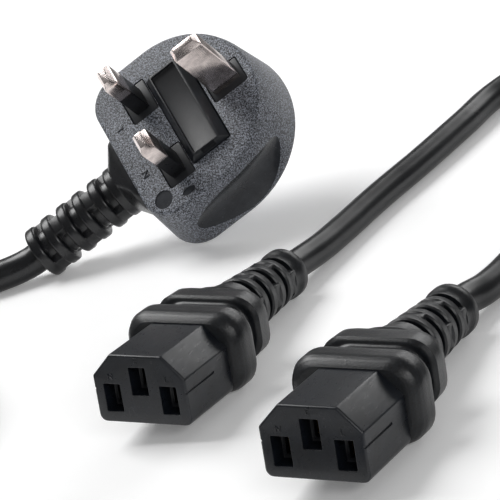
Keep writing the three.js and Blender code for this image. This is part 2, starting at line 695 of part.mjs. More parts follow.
const splitter = new THREE.Group();
splitter.add(plug, connectorA, connectorB, junction);
const own = new THREE.Box3().setFromObject(splitter, true);
splitter.add(
  cord('trunk_cord', TRUNK, [
    ...trunkExit,
    ...onFloor([[-88, -94, 0.1], [-103, -101.5], [-118, -110.5], [-131, -122.5],
      [-139.8, -138], [-143.2, -154.3, 0.5]], trunkRest),
  ], 8),
  piece('trunk_coil', trunkCoil(), sheath),
  piece('coil_tie', coilTie(), strap),
  cord('trunk_tail', TRUNK, [
    ...onFloor([[-67.3, -237, 7.6], [-48, -237, 3.9], [-29, -237, 1], [-8, -237, 0.2], [20, -237],
      [48, -237], [70, -237], [94.1, -235.9], [104.8, -231.3], [113.5, -223.4], [119.1, -213.1],
      [121, -201.5], [119.6, -187.5, 1.6]], trunkRest),
    ...junctionTrunk,
  ], 18),
  cord('leg_a_cord', LEG, [
    ...legAExit,
    ...onFloor([[11.2, -96, 0.6], [12.1, -85.2, 0.1], [13.9, -67.9], [17.3, -46.6], [20.1, -25.9, 0.1],
      [22.8, -5.7, 0.2], [29.9, 6.9, 0.8], [42, 14.9, 2.5], [56.4, 16.6, 4.7], [69.9, 11.5, 6.9],
      [79.7, 0.8, 8.1], [83.6, -13.1, 7.5], [84.3, -31, 5.4], [87, -48, 2.4], [92.5, -63, 0.6],
      [100.5, -77, 0.9]], legRest),
    ...junctionLegA,
  ], 24),
  cord('leg_b_cord', LEG, [
    ...legBExit,
    ...onFloor([[67.5, -126, 0.6], [69.3, -112, 0.2], [70.3, -92], [70, -64], [69, -38], [69, -14.2],
      [72.1, -0.8], [80.7, 9.8], [93.2, 15.6], [106.9, 15.4], [119.1, 9.2], [127.4, -1.8],
      [130, -14.2], [130, -34], [128.5, -55, 0.1], [126.3, -76, 1.6]], legRest),
    ...junctionLegB,
  ], 24),
);
splitter.position.set(-(own.min.x + own.max.x) / 2, -(own.min.y + own.max.y) / 2, 0);
splitter.updateMatrixWorld(true);

export default splitter;
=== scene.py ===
# %% [markdown]
# # A power cord splitter
# One fused plug feeds two appliance connectors through a cord that forks. The frame brings every
# piece at its real size and place, and this lesson gives each of them its finished form and
# surface. Each piece is modelled in millimetres in its own small frame, because its drawing is
# simple there, and its mesh is then laid where the frame's piece lies.

# %% Tools and the frame
import math

import bmesh
import bpy
from mathutils import Euler, Matrix, Vector


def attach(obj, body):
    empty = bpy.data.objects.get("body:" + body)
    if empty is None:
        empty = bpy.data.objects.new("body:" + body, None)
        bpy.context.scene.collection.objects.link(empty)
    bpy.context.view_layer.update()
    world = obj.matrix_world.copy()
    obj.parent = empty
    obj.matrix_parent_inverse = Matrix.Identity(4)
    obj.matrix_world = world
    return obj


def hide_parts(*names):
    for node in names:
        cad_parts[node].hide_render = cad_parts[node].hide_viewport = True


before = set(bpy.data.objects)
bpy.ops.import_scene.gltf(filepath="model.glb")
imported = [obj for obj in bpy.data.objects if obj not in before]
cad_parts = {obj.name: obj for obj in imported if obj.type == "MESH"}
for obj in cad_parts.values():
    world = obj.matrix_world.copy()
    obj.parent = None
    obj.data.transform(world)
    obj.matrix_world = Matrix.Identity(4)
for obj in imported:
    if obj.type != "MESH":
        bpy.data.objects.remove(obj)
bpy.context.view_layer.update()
MM = 0.001
BODY = "cord_set"
DRAWER = "fuse_drawer"
# The layout is drawn from its own origin, and this takes it to the frame's
SHIFT = Vector((-26.904, 124.052, 0))
print("nodes:", len(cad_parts))

# %% [markdown]
# ## The camera
# The photograph looks down on the connectors' fronts from the right, and is tilted. A camera's
# own axes are built from its compass angle, its height angle and its roll, so each can be read
# and changed by itself.

# %% Camera
CAMERA_AZIMUTH, CAMERA_ELEVATION, CAMERA_ROLL = 34.0, 20.2, 18.9
CAMERA_PLACE = (Vector((309.74, -566.99, 214.7)) + SHIFT) * MM
CAMERA_LENS = 179.6


def make_camera():
    azimuth, elevation, roll = map(math.radians, (CAMERA_AZIMUTH, CAMERA_ELEVATION, CAMERA_ROLL))
    back = Vector((math.sin(azimuth) * math.cos(elevation),
                   -math.cos(azimuth) * math.cos(elevation), math.sin(elevation)))
    level = Vector((math.cos(azimuth), math.sin(azimuth), 0))
    upright = back.cross(level)
    right = math.cos(roll) * level - math.sin(roll) * upright
    up = math.sin(roll) * level + math.cos(roll) * upright
    data = bpy.data.cameras.new("camera")
    data.lens = CAMERA_LENS
    data.sensor_width = 36
    data.clip_start = 0.05
    camera = bpy.data.objects.new("camera", data)
    bpy.context.scene.collection.objects.link(camera)
    axes = Matrix((right, up, back)).transposed().to_4x4()
    camera.matrix_world = Matrix.Translation(CAMERA_PLACE) @ axes
    bpy.context.scene.camera = camera


make_camera()
print("camera at", [round(v, 3) for v in CAMERA_PLACE])

# %% [markdown]
# ## The cords
# A mains cord is stiff: it leaves its relief straight, sinks to the floor within a few
# centimetres and then lies in wide curves. A Bezier curve with automatic handles bends that way
# by itself, so each cord is one curve through chosen points, with a round bevel for its sheath.
# The trunk's spare length is wound as for storage, two turns inwards on the floor and the rest
# outwards on top of them, just outside the view.

# %% Cord sizes
TRUNK_DIAMETER = 8.0
LEG_DIAMETER = 7.2
TRUNK_REST = TRUNK_DIAMETER / 2 + 0.1
LEG_REST = LEG_DIAMETER / 2 + 0.1
COIL_CENTRE = Vector((-96, -187, 0))
COIL_TURNS = 4.25
COIL_OUTER, COIL_STEP = 47.4, 8.1
COIL_LIFT, COIL_LAYER = 1.2, 8.3
CLIMB_START, CLIMB_END = 1.72, 2.28
POINTS_A_TURN = 16


def on_floor(points, rest):
    return [Vector((p[0], p[1], rest + (p[2] if len(p) > 2 else 0))) for p in points]


def smooth_step(value, low, high):
    share = min(max((value - low) / (high - low), 0), 1)
    return share * share * (3 - 2 * share)


def coil_points():
    points = []
    for i in range(int(COIL_TURNS * POINTS_A_TURN) + 1):
        turn = i / POINTS_A_TURN
        angle = math.radians(180 + 360 * turn)
        radius = COIL_OUTER - COIL_STEP * min(turn, 2) + COIL_STEP * max(turn - 2, 0)
        lift = COIL_LIFT + COIL_LAYER * smooth_step(turn, CLIMB_START, CLIMB_END)
        points.append(COIL_CENTRE + Vector((radius * math.cos(angle), radius * math.sin(angle),
                                            TRUNK_REST + lift)))
    return points


# %% Laying a cord


def lay_cord(name, diameter, points):
    curve = bpy.data.curves.new(name, "CURVE")
    curve.dimensions = "3D"
    # The knots' radii scale this, and the measured box of a curve goes by them too
    curve.bevel_depth = 1.0
    curve.bevel_resolution = 8
    curve.resolution_u = 10
    curve.use_fill_caps = True
    spline = curve.splines.new("BEZIER")
    spline.bezier_points.add(len(points) - 1)
    for knot, point in zip(spline.bezier_points, points):
        knot.co = (point + SHIFT) * MM
        knot.radius = diameter / 2 * MM
        knot.handle_left_type = knot.handle_right_type = "AUTO"
    piece = bpy.data.objects.new(name, curve)
    bpy.context.scene.collection.objects.link(piece)
    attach(piece, BODY)
    print(name, "has", len(points), "points")
    return piece


# %% The trunk
TRUNK_EXIT = Vector((-76.5, -86.96, 6.39))
trunk = lay_cord("trunk", TRUNK_DIAMETER, [
    TRUNK_EXIT, Vector((-79.06, -88.39, 5.27)),
    *on_floor([(-88, -94, 0.1), (-103, -101.5), (-118, -110.5), (-131, -122.5), (-139.8, -138),
               (-143.2, -154.3, 0.5)], TRUNK_REST),
    *coil_points(),
    *on_floor([(-82, -236.8, 9.2), (-67.3, -237, 7.6), (-48, -237, 3.9), (-29, -237, 1),
               (-8, -237, 0.2), (20, -237), (48, -237), (70, -237), (94.1, -235.9),
               (104.8, -231.3), (113.5, -223.4), (119.1, -213.1), (121, -201.5),
               (119.6, -187.5, 1.6)], TRUNK_REST),
    Vector((116.5, -172.3, 7)), Vector((116.5, -167.1, 7)),
])
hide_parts("trunk_cord", "trunk_coil", "trunk_tail")

# %% The legs
LEG_A_EXIT = Vector((10.11, -111.2, 5.94))
leg_a = lay_cord("leg_a", LEG_DIAMETER, [
    LEG_A_EXIT, Vector((10.11, -106.33, 5.32)),
    *on_floor([(11.2, -96, 0.6), (12.1, -85.2, 0.1), (13.9, -67.9), (17.3, -46.6),
               (20.1, -25.9, 0.1), (22.8, -5.7, 0.2), (29.9, 6.9, 0.8), (42, 14.9, 2.5),
               (56.4, 16.6, 4.7),
               (69.9, 11.5, 6.9), (79.7, 0.8, 8.1), (83.6, -13.1, 7.5), (84.3, -31, 5.4),
               (87, -48, 2.4), (92.5, -63, 0.6), (100.5, -77, 0.9)], LEG_REST),
    Vector((107.5, -91.7, 7)), Vector((107.5, -96.9, 7)),
])
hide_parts("leg_a_cord")

LEG_B_EXIT = Vector((65.61, -138.2, 5.94))
leg_b = lay_cord("leg_b", LEG_DIAMETER, [
    LEG_B_EXIT, Vector((65.61, -133.33, 5.32)),
    *on_floor([(67.5, -126, 0.6), (69.3, -112, 0.2), (70.3, -92), (70, -64), (69, -38), (69, -14.2),
               (72.1, -0.8), (80.7, 9.8), (93.2, 15.6), (106.9, 15.4), (119.1, 9.2),
               (127.4, -1.8), (130, -14.2), (130, -34), (128.5, -55, 0.1), (126.3, -76, 1.6)],
              LEG_REST),
    Vector((125.5, -91.7, 7)), Vector((125.5, -96.9, 7)),
])
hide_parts("leg_b_cord")

# %% [markdown]
# ## How a surface is made
# Every surface here has two fields of noise, measured in millimetres: one varies its colour and
# one its roughness and its relief. A field can be stretched into lines and turned with a piece.
# A bevel node rolls the sharp edges over, as every moulded or drawn edge is.

# %% Surface helpers
EVEN = (1, 1, 1)


def screen_colour(text):
    channels = [int(text[i:i + 2], 16) / 255 for i in (0, 2, 4)]
    return (*[c / 12.92 if c <= 0.04045 else ((c + 0.055) / 1.055) ** 2.4 for c in channels], 1.0)


def add_node(tree, kind, output, inputs=None, **settings):
    node = tree.nodes.new(kind)
    for name, value in settings.items():
        setattr(node, name, value)
    for name, value in (inputs or {}).items():
        if isinstance(value, bpy.types.NodeSocket):
            tree.links.new(value, node.inputs[name])
        else:
            node.inputs[name].default_value = value
    return node.outputs[output]


def surface(name, colours, colour_field, relief_field, roughness, depth, edge=0.25,
            contrast=(0.3, 0.7), turn=(0, 0, 0), metallic=0.0):
    """A field is its grain in mm, its detail and its stretch along the three axes."""
    material = bpy.data.materials.new(name)
    material.use_nodes = True
    tree = material.node_tree
    shader = tree.nodes["Principled BSDF"]
    place = add_node(tree, "ShaderNodeTexCoord", "Object")
    fields = []
    for grain, detail, stretch in (colour_field, relief_field):
        spot = add_node(tree, "ShaderNodeMapping", "Vector", {
            "Vector": place, "Rotation": turn, "Scale": [MM * s for s in stretch]},
            vector_type="TEXTURE")
        fields.append(add_node(tree, "ShaderNodeTexNoise", "Fac", {
            "Vector": spot, "Scale": 1 / grain, "Detail": detail, "Roughness": 0.6}))
    share = add_node(tree, "ShaderNodeMapRange", "Result", {
        "Value": fields[0], "From Min": contrast[0], "From Max": contrast[1]})
    colour = add_node(tree, "ShaderNodeMix", "Result", {
        "Factor": share, "A": screen_colour(colours[0]), "B": screen_colour(colours[1])},
        data_type="RGBA")
    rough = add_node(tree, "ShaderNodeMapRange", "Result", {
        "Value": fields[1], "From Min": 0.3, "From Max": 0.7,
        "To Min": roughness[0], "To Max": roughness[1]})
    rounded = add_node(tree, "ShaderNodeBevel", "Normal", {"Radius": edge * MM}, samples=4)
    normal = add_node(tree, "ShaderNodeBump", "Normal", {
        "Height": fields[1], "Distance": depth * MM, "Strength": 1.0, "Normal": rounded})
    for socket, value in (("Base Color", colour), ("Roughness", rough), ("Normal", normal),
                          ("Metallic", metallic)):
        if isinstance(value, float):
            shader.inputs[socket].default_value = value
        else:
            tree.links.new(value, shader.inputs[socket])
    print("surface:", name)
    return material


# %% [markdown]
# ## Plastics
# The mouldings are soft black PVC. The plug's and the connectors' tools are spark-eroded, which
# leaves a grain of about 0.1 mm that scatters the light into speckles. That grain is too fine for
# the render, so it is drawn at about 0.4 mm, and on the plug its speckles are painted highlights,
# light grey in the colour. The thumb hollows, the reliefs and the noses come from polished steel,
# and mirror the lights softly; the hollows' colour is made lighter as a painted reflection.

# %% Plastics
# The plug's light grey speckle colour is a painted highlight of its grain, not a grey in the PVC
plug_black_painted_glints = surface("plug_pvc_painted_glints", ("121317", "999ea9"), (0.36, 2.0, EVEN),
                     (0.36, 2.0, EVEN), (0.36, 0.5), 0.1, contrast=(0.42, 0.66))
connector_black = surface("connector_spark_eroded_pvc", ("050608", "12161c"), (0.45, 3.0, EVEN),
                          (0.45, 3.0, EVEN), (0.3, 0.42), 0.06, contrast=(0.38, 0.66))
# Polished steel leaves only slow waves and the fine scratches of handling
# The hollow's colour is lighter than the plug's own black, a painted reflection of its gloss
hollow_black_painted_sheen = surface("thumb_hollow_pvc_painted_sheen", ("1d1f24", "303338"), (5.0, 3.0, EVEN),
                       (0.5, 4.0, (1, 6, 1)), (0.18, 0.28), 0.01)
relief_black = surface("relief_polished_pvc", ("08090c", "121317"), (5.0, 3.0, EVEN),
                       (0.5, 4.0, (1, 6, 1)), (0.26, 0.36), 0.01)
# Nylon is greyer and harder than PVC
nose_slate = surface("nose_polished_nylon", ("0e1116", "161a21"), (5.0, 3.0, EVEN),
                     (0.5, 4.0, (1, 6, 1)), (0.26, 0.36), 0.01)
carrier_slate = surface("carrier_polished_nylon", ("131519", "1c1f25"), (5.0, 3.0, EVEN),
                        (0.5, 4.0, (1, 6, 1)), (0.36, 0.46), 0.01)
seat_slate = surface("seat_polished_nylon", ("131418", "1c1e22"), (5.0, 3.0, EVEN),
                     (0.5, 4.0, (1, 6, 1)), (0.38, 0.48), 0.01)
# The deep holes are the nose's own nylon, made darker here as painted shade inside them
pit_black_painted_shade = surface("pit_nylon_painted_shade", ("060607", "0b0b0d"), (5.0, 3.0, EVEN), (0.5, 4.0, EVEN),
                    (0.55, 0.65), 0.01)
sleeve_black = surface("sleeve_extruded_pvc", ("0a0a0c", "131417"), (5.0, 3.0, EVEN),
                       (0.5, 4.0, (1, 6, 1)), (0.26, 0.36), 0.01)
# An extruded sheath is smooth across and slightly wavy along, with dust in its surface
cord_sheath = surface("sheath_extruded_pvc", ("0a0b0e", "15171b"), (0.6, 4.0, EVEN),
                      (14.0, 2.0, EVEN), (0.26, 0.36), 0.15, contrast=(0.4, 0.75))
# The strap's ribs run along it, so the field is narrow across the strap only
strap_rubber = surface("strap_ribbed_rubber", ("0b0b0d", "1b1c1f"), (0.8, 1.0, (12, 1, 12)),
                       (0.8, 1.0, (12, 1, 12)), (0.45, 0.6), 0.15)
for piece in (trunk, leg_a, leg_b):
    piece.data.materials.append(cord_sheath)

# %% [markdown]
# ## Metals and ceramic
# The pins are brass bars with a bright nickel plate. They were drawn through a die, which leaves
# fine lines along them, and the thin plate has a faint warm tone. Clips, contacts and fuse caps
# are bare rolled brass. The fuse's tube is glazed ceramic, which looks wet and even.

# %% Metals and ceramic
PLUG_TURN = [math.radians(a) for a in (40.77, -21.01, 29.13)]
nickel_plate = surface("pin_nickel_plate", ("b6aba8", "efe4e0"), (3.5, 3.0, EVEN),
                       (0.15, 3.0, (1, 1, 30)), (0.1, 0.24), 0.012, 0.2,
                       turn=PLUG_TURN, metallic=1.0)
rolled_brass = surface("rolled_brass", ("b08a3c", "d8b766"), (3.5, 3.0, EVEN),
                       (0.15, 3.0, (1, 1, 30)), (0.24, 0.4), 0.012, 0.2, metallic=1.0)
glazed_ceramic = surface("glazed_ceramic", ("dcd8cc", "efece3"), (5.0, 3.0, EVEN),
                         (3.0, 2.0, EVEN), (0.2, 0.3), 0.02)

# %% [markdown]
# ## Mesh helpers
# Three ways of shaping serve nearly every piece: bridging closed rings into a skin, spinning a
# profile, and bevelling a block. Every mesh is drawn in millimetres, and is laid in place and
# turned to metres at its end, so that its object stays at the origin.

# %% Mesh helpers


def laid(location, turn=0.0, lean=0.0, roll=0.0):
    angles = Euler([math.radians(a) for a in (roll, lean, turn)], "XYZ")
    return Matrix.Translation((Vector(location) + SHIFT) * MM) @ angles.to_matrix().to_4x4()


def closed_ring(mesh, points):
    corners = [mesh.verts.new(p) for p in points]
    return [mesh.edges.new(pair) for pair in zip(corners, corners[1:] + corners[:1])]


def loft(mesh, rings, index=0):
    """A closed skin bridged through rings that all have as many points."""
    before = set(mesh.faces)
    loops = [closed_ring(mesh, ring) for ring in rings]
    for low, high in zip(loops, loops[1:]):
        bmesh.ops.bridge_loops(mesh, edges=low + high)
    for end in (loops[0], loops[-1]):
        bmesh.ops.edgeloop_fill(mesh, edges=end)
    for face in set(mesh.faces) - before:
        face.material_index = index


def spun(mesh, profile, place=None, steps=48, index=0):
    """A profile of (radius, height) pairs spun once about Z, then placed."""
    old_verts, old_faces = set(mesh.verts), set(mesh.faces)
    line = [mesh.verts.new((radius, 0, height)) for radius, height in profile]
    edges = [mesh.edges.new(pair) for pair in zip(line, line[1:])]
    bmesh.ops.spin(mesh, geom=line + edges, cent=(0, 0, 0), axis=(0, 0, 1), angle=2 * math.pi,
                   steps=steps, use_merge=True)
    bmesh.ops.remove_doubles(mesh, verts=list(set(mesh.verts) - old_verts), dist=1e-4)
    if place is not None:
        bmesh.ops.transform(mesh, matrix=place, verts=list(set(mesh.verts) - old_verts))
    for face in set(mesh.faces) - old_faces:
        face.material_index = index


def block(mesh, low, high, bevel=0.0, segments=2, index=0, place=None):
    low, high = Vector(low), Vector(high)
    old_verts, old_faces = set(mesh.verts), set(mesh.faces)
    middle = Matrix.Translation((low + high) / 2) @ Matrix.Diagonal((*(high - low), 1))
    bmesh.ops.create_cube(mesh, size=1, matrix=middle if place is None else place @ middle)
    corners = list(set(mesh.verts) - old_verts)
    if bevel:
        bmesh.ops.bevel(mesh, geom=list({e for v in corners for e in v.link_edges}), offset=bevel,
                        segments=segments, profile=0.5, affect="EDGES", material=-1)
    for face in set(mesh.faces) - old_faces:
        face.material_index = index


def rounded_outline(half, low, high, radius, steps=8):
    r = min(radius, half, (high - low) / 2)
    centres = [(half - r, high - r), (r - half, high - r), (r - half, low + r), (half - r, low + r)]
    points = []
    for corner, (x, z) in enumerate(centres):
        for i in range(steps + 1):
            angle = (corner + i / steps) * math.pi / 2
            points.append((x + r * math.cos(angle), z + r * math.sin(angle)))
    return points


# %% Finishing a piece
SHARP_ANGLE = 32


def mesh_of(mesh, name, place, materials):
    bmesh.ops.remove_doubles(mesh, verts=mesh.verts, dist=1e-4)
    bmesh.ops.recalc_face_normals(mesh, faces=mesh.faces)
    data = bpy.data.meshes.new(name)
    mesh.to_mesh(data)
    mesh.free()
    data.transform(place @ Matrix.Scale(MM, 4))
    for material in materials:
        data.materials.append(material)
    return data


def shade(data, angle=SHARP_ANGLE):
    data.shade_smooth()
    data.set_sharp_from_angle(angle=math.radians(angle))


def finish_piece(name, mesh, place, materials, replaced, body=BODY, angle=SHARP_ANGLE):
    data = mesh_of(mesh, name, place, materials)
    shade(data, angle)
    piece = bpy.data.objects.new(name, data)
    bpy.context.scene.collection.objects.link(piece)
    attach(piece, body)
    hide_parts(*replaced)
    lowest = min(v.co.z for v in data.vertices)
    print(f"{name}: {len(data.polygons)} faces, lowest point {lowest / MM:.2f} mm")
    return piece


def cut(target, mesh, place):
    """Takes closed shapes out of a finished piece. They bring their material's index."""
    tool = bpy.data.objects.new("cutter", mesh_of(mesh, "cutter", place, target.data.materials))
    bpy.context.scene.collection.objects.link(tool)
    modifier = target.modifiers.new("cut", "BOOLEAN")
    modifier.operation = "DIFFERENCE"
    modifier.solver = "EXACT"
    modifier.object = tool
    bpy.context.view_layer.update()
    graph = bpy.context.evaluated_depsgraph_get()
    result = bpy.data.meshes.new_from_object(target.evaluated_get(graph))
    target.modifiers.remove(modifier)
    target.data = result
    bpy.data.objects.remove(tool)
    shade(result)
    print(f"{target.name}: {len(result.polygons)} faces after a cut")


# %% [markdown]
# ## The plug's shell
# The plug is a D-shaped moulding that tapers towards its face and has a rounded back. Its own
# frame has x towards the earth pin, y towards the live pin and z out of the face. Outlines at
# several depths are bridged into one skin, which follows taper and rounding in one go. Each thumb
# hollow is an ellipse carried along a flank, sunk deepest half way, and cut out, so that its rim
# is as sharp as the real one's.

# %% Plug sizes
PLUG = laid((-38.3, -73.9, 30.574), 29.13, -21.01, 40.77)
HALF_WIDTH, ROUND_X, CABLE_X, CORNER, THICKNESS = 24.5, 7.0, -13.6, 10.0, 20.0
FACE_INSET, FACE_EDGE, BAND_DEPTH, DOME = 1.7, 0.7, 2.4, 3.0
GRIP_DEPTH, GRIP_HEIGHT, GRIP_Z, GRIP_START, GRIP_END = 2.6, 15.5, -9.2, -9.0, 36.0
GRIP_STAND, GRIP_SHALLOW = 5.0, 0.4

# %% Plug shell


def plug_outline(inset, z):
    radius = HALF_WIDTH - inset
    corner = max(CORNER - inset, 1)
    corner_x = CABLE_X + inset + corner
    points = []
    for x, y, r, start, end, steps in (
            (ROUND_X, 0, radius, -90, 90, 80),
            (corner_x, radius - corner, corner, 90, 180, 18),
            (corner_x, corner - radius, corner, 180, 270, 18)):
        for i in range(steps + 1):
            angle = math.radians(start + (end - start) * i / steps)
            points.append(Vector((x + r * math.cos(angle), y + r * math.sin(angle), z)))
    return points


def plug_shell_rings():
    rings = []
    for i in range(7):
        angle = i / 6 * math.pi / 2
        rings.append(plug_outline(FACE_INSET + FACE_EDGE * (1 - math.sin(angle)),
                                  -FACE_EDGE * (1 - math.cos(angle))))
    rings.append(plug_outline(FACE_INSET * 0.75, -BAND_DEPTH))
    rings.append(plug_outline(0, DOME - THICKNESS))
    for i in range(1, 10):
        angle = i / 9 * math.pi / 2
        rings.append(plug_outline(DOME * 2 * (1 - math.cos(angle)),
                                  DOME - THICKNESS - DOME * math.sin(angle)))
    return rings


def grip_hollow(mesh, side, stations=56, around=72):
    straight = ROUND_X - GRIP_START
    total = straight + math.radians(90 - GRIP_END) * HALF_WIDTH
    rings = []
    for s in range(stations + 1):
        travel = s / stations * total
        angle = max(travel - straight, 0) / HALF_WIDTH
        normal = Vector((math.sin(angle), math.cos(angle)))
        foot = (Vector((GRIP_START + travel, HALF_WIDTH)) if travel < straight
                else Vector((ROUND_X, 0)) + HALF_WIDTH * normal)
        swell = max(math.sin(math.pi * s / stations), 0)
        reach = GRIP_STAND - GRIP_SHALLOW + (GRIP_DEPTH + GRIP_SHALLOW) * swell ** 0.8
        half = GRIP_HEIGHT * 0.66 * (0.42 + 0.58 * swell)
        ring = []
        for i in range(around):
            a = 2 * math.pi * i / around
            spot = foot + normal * (GRIP_STAND + reach * math.cos(a))
            ring.append(Vector((spot.x, side * spot.y, GRIP_Z + half * math.sin(a))))
        rings.append(ring)
    loft(mesh, rings, index=1)


shell_mesh = bmesh.new()
loft(shell_mesh, plug_shell_rings())
plug_shell = finish_piece("plug_shell", shell_mesh, PLUG, [plug_black_painted_glints, hollow_black_painted_sheen],
                          ["plug_body"])
hollows = bmesh.new()
grip_hollow(hollows, 1)
grip_hollow(hollows, -1)
cut(plug_shell, hollows, PLUG)

# %% [markdown]
# ## Pockets and marks in the face
# The fuse carrier sits in a long pocket, and each pin's base has a flush seat with a fine line
# round it. A pocket is a bevelled block taken out of the shell. Two shallow round marks are left
# by the tool's ejectors.

# %% Face pockets
CARRIER_X0, CARRIER_X1, CARRIER_Y, CARRIER_RISE = 4.4, 16.0, 14.3, 2.0
CARRIER_GAP, CARRIER_FAR_GAP, POCKET_DEPTH = 0.2, 0.3, 11
PIN_OFFSET = 11.1
SEAT_LINE = 0.1
SEATS = [((-3.9, PIN_OFFSET - 5.1), (4.0, PIN_OFFSET + 5.1)),
         ((-3.9, -PIN_OFFSET - 5.1), (4.0, 5.1 - PIN_OFFSET)),
         ((17.1, -3.9), (27.5, 3.9))]
EJECTOR_MARKS = [((-6.9, -17.4), 2.5, 2.5), ((-0.1, -19.8), 1.9, 1.0)]

pockets = bmesh.new()
block(pockets, (CARRIER_X0 - CARRIER_GAP, -CARRIER_Y - CARRIER_GAP, -POCKET_DEPTH),
      (CARRIER_X1 + CARRIER_FAR_GAP, CARRIER_Y + CARRIER_GAP, 2), 0.5, index=1)
for low, high in SEATS:
    block(pockets, (low[0] - SEAT_LINE, low[1] - SEAT_LINE, -1.5),
          (high[0] + SEAT_LINE, high[1] + SEAT_LINE, 2), 0.6, index=1)
cut(plug_shell, pockets, PLUG)
marks = bmesh.new()
for (x, y), wide, tall in EJECTOR_MARKS:
    spun(marks, [(0, -0.25), (1, -0.25), (1, 1), (0, 1)],
         Matrix.Translation((x, y, 0)) @ Matrix.Diagonal((wide, tall, 1, 1)), 32, 1)
cut(plug_shell, marks, PLUG)

seat_mesh = bmesh.new()
for low, high in SEATS:
    block(seat_mesh, (*low, -1.4), (*high, 0.02), 0.5)
finish_piece("pin_seats", seat_mesh, PLUG, [seat_slate], ["pin_bridge"])

# %% [markdown]
# ## The bend relief
# The relief lets the cord bend gently: rings on a thin core, held apart by webs that change sides
# from gap to gap. Each ring is a spun profile with rounded edges, each web a bevelled block, and
# a bridged shoulder joins the collar to the shell.

# %% Bend relief
RELIEF_Z, COLLAR, RINGS, RING, RING_SLOT = -11.0, 6.0, 5, 3.0, 2.2
RING_RADIUS, RELIEF_CORE, WEB, RING_EDGE = 7.1, 4.9, 4.8, 0.8
RELIEF_AXIS = (Matrix.Translation((CABLE_X, 0, RELIEF_Z))
               @ Matrix.Rotation(math.radians(-90), 4, "Y"))
NECK = [(5, 13.5, 1.2 - THICKNESS, -1.4, 6),
        (-0.2, 11.5, RELIEF_Z - 7.5, RELIEF_Z + 8.3, 6),
        (-3.6, RING_RADIUS, RELIEF_Z - RING_RADIUS, RELIEF_Z + RING_RADIUS, RING_RADIUS)]


def soft_ring(mesh, low, high):
    """A ring whose outer edges are quarter rounds."""
    profile = [(0, low)]
    quarter = [math.radians(22.5 * i) for i in range(5)]
    profile += [(RING_RADIUS - RING_EDGE * (1 - math.sin(a)), low + RING_EDGE * (1 - math.cos(a)))
                for a in quarter]
    profile += [(RING_RADIUS - RING_EDGE * (1 - math.cos(a)), high - RING_EDGE * (1 - math.sin(a)))
                for a in quarter]
    spun(mesh, profile + [(0, high)], RELIEF_AXIS, 56)


def between(stations, steps):
    """Stations with evenly mixed ones between them."""
    rows = []
    for first, second in zip(stations, stations[1:]):
        for s in range(steps):
            rows.append([a + (b - a) * s / steps for a, b in zip(first, second)])
    return rows + [list(stations[-1])]


relief_mesh = bmesh.new()
soft_ring(relief_mesh, -2, COLLAR)
height = COLLAR
for i in range(RINGS):
    soft_ring(relief_mesh, height + RING_SLOT, height + RING_SLOT + RING)
    long_half = RING_RADIUS - 0.5
    across = (WEB / 2, long_half) if i % 2 == 0 else (long_half, WEB / 2)
    block(relief_mesh, (-across[0], -across[1], height - 0.5),
          (across[0], across[1], height + RING_SLOT + 0.5), 0.4, place=RELIEF_AXIS)
    height += RING_SLOT + RING
core_end = height - 0.3
spun(relief_mesh, [(0, 0), (RELIEF_CORE, 0), (RELIEF_CORE, core_end), (0, core_end)], RELIEF_AXIS)
loft(relief_mesh, [[Vector((CABLE_X + x, y, z)) for y, z in rounded_outline(*rest)]
                   for x, *rest in between(NECK, 6)])
finish_piece("plug_relief", relief_mesh, PLUG, [relief_black], ["plug_body"])

# %% [markdown]
# ## The pins
# Each pin is a bar with slightly broken long edges and a chamfered tip. The live and neutral pins
# have a black sleeve on their lower half, flush with the metal. A bevelled block would round every
# edge alike, so sections are bridged instead, and the tip gets steps of its own.

# %% Pins
PIN_THICK, PIN_WIDE, PIN_LENGTH, PIN_TIP = 4.0, 6.35, 17.7, 1.5
EARTH_X, EARTH_THICK, EARTH_WIDE, EARTH_LENGTH, EARTH_TIP = 22.2, 8.0, 4.0, 22.7, 1.7
SLEEVE_LENGTH, EDGE_RADIUS, EARTH_ROOT, SLEEVE_ROOT = 9.2, 0.35, 9, 2.6


def pin_section(x, y, thick, wide, inset, z):
    return [Vector((x + u * (1 - 2 * inset / thick), y + v * (1 - 2 * inset / wide), z))
            for u, v in rounded_outline(thick / 2, -wide / 2, wide / 2, EDGE_RADIUS, 4)]


def pin_bar(x, y, thick, wide, low, high, tip):
    mesh = bmesh.new()
    stations = [(0, low), (0, high - tip - 0.25), (0.12, high - tip),
                (0.12 + tip * 0.22, high - tip * 0.65), (0.12 + tip * 0.62, high - 0.05),
                (0.4 + tip * 0.62, high)]
    loft(mesh, [pin_section(x, y, thick, wide, inset, z) for inset, z in stations])
    return mesh


earth_mesh = pin_bar(EARTH_X, 0, EARTH_THICK, EARTH_WIDE, -EARTH_ROOT, EARTH_LENGTH, EARTH_TIP)
finish_piece("earth_blade", earth_mesh, PLUG, [nickel_plate], ["earth_pin"])
for name, side in (("live", 1), ("neutral", -1)):
    y = side * PIN_OFFSET
    blade_mesh = pin_bar(0, y, PIN_THICK, PIN_WIDE, SLEEVE_LENGTH + 0.1, PIN_LENGTH, PIN_TIP)
    finish_piece(f"{name}_blade", blade_mesh, PLUG, [nickel_plate], [f"{name}_pin"])
    sleeve_mesh = bmesh.new()
    loft(sleeve_mesh, [pin_section(0, y, PIN_THICK, PIN_WIDE, 0, z)
                       for z in (-SLEEVE_ROOT, SLEEVE_LENGTH)])
    finish_piece(f"{name}_collar", sleeve_mesh, PLUG, [sleeve_black],
                 [f"{name}_sleeve"])

# %% [markdown]
# ## The fuse and its carrier
# The carrier is a small drawer: a head with sloping sides and a sunk panel, a notch at each end
# for the screwdriver, and two claws that grip the fuse. The head is bridged from three rectangles
# and bevelled, because its two long sides slope differently, and the panel and the notches are cut.
# It lifts out of the face with the fuse, so these pieces ride on the drawer's body.

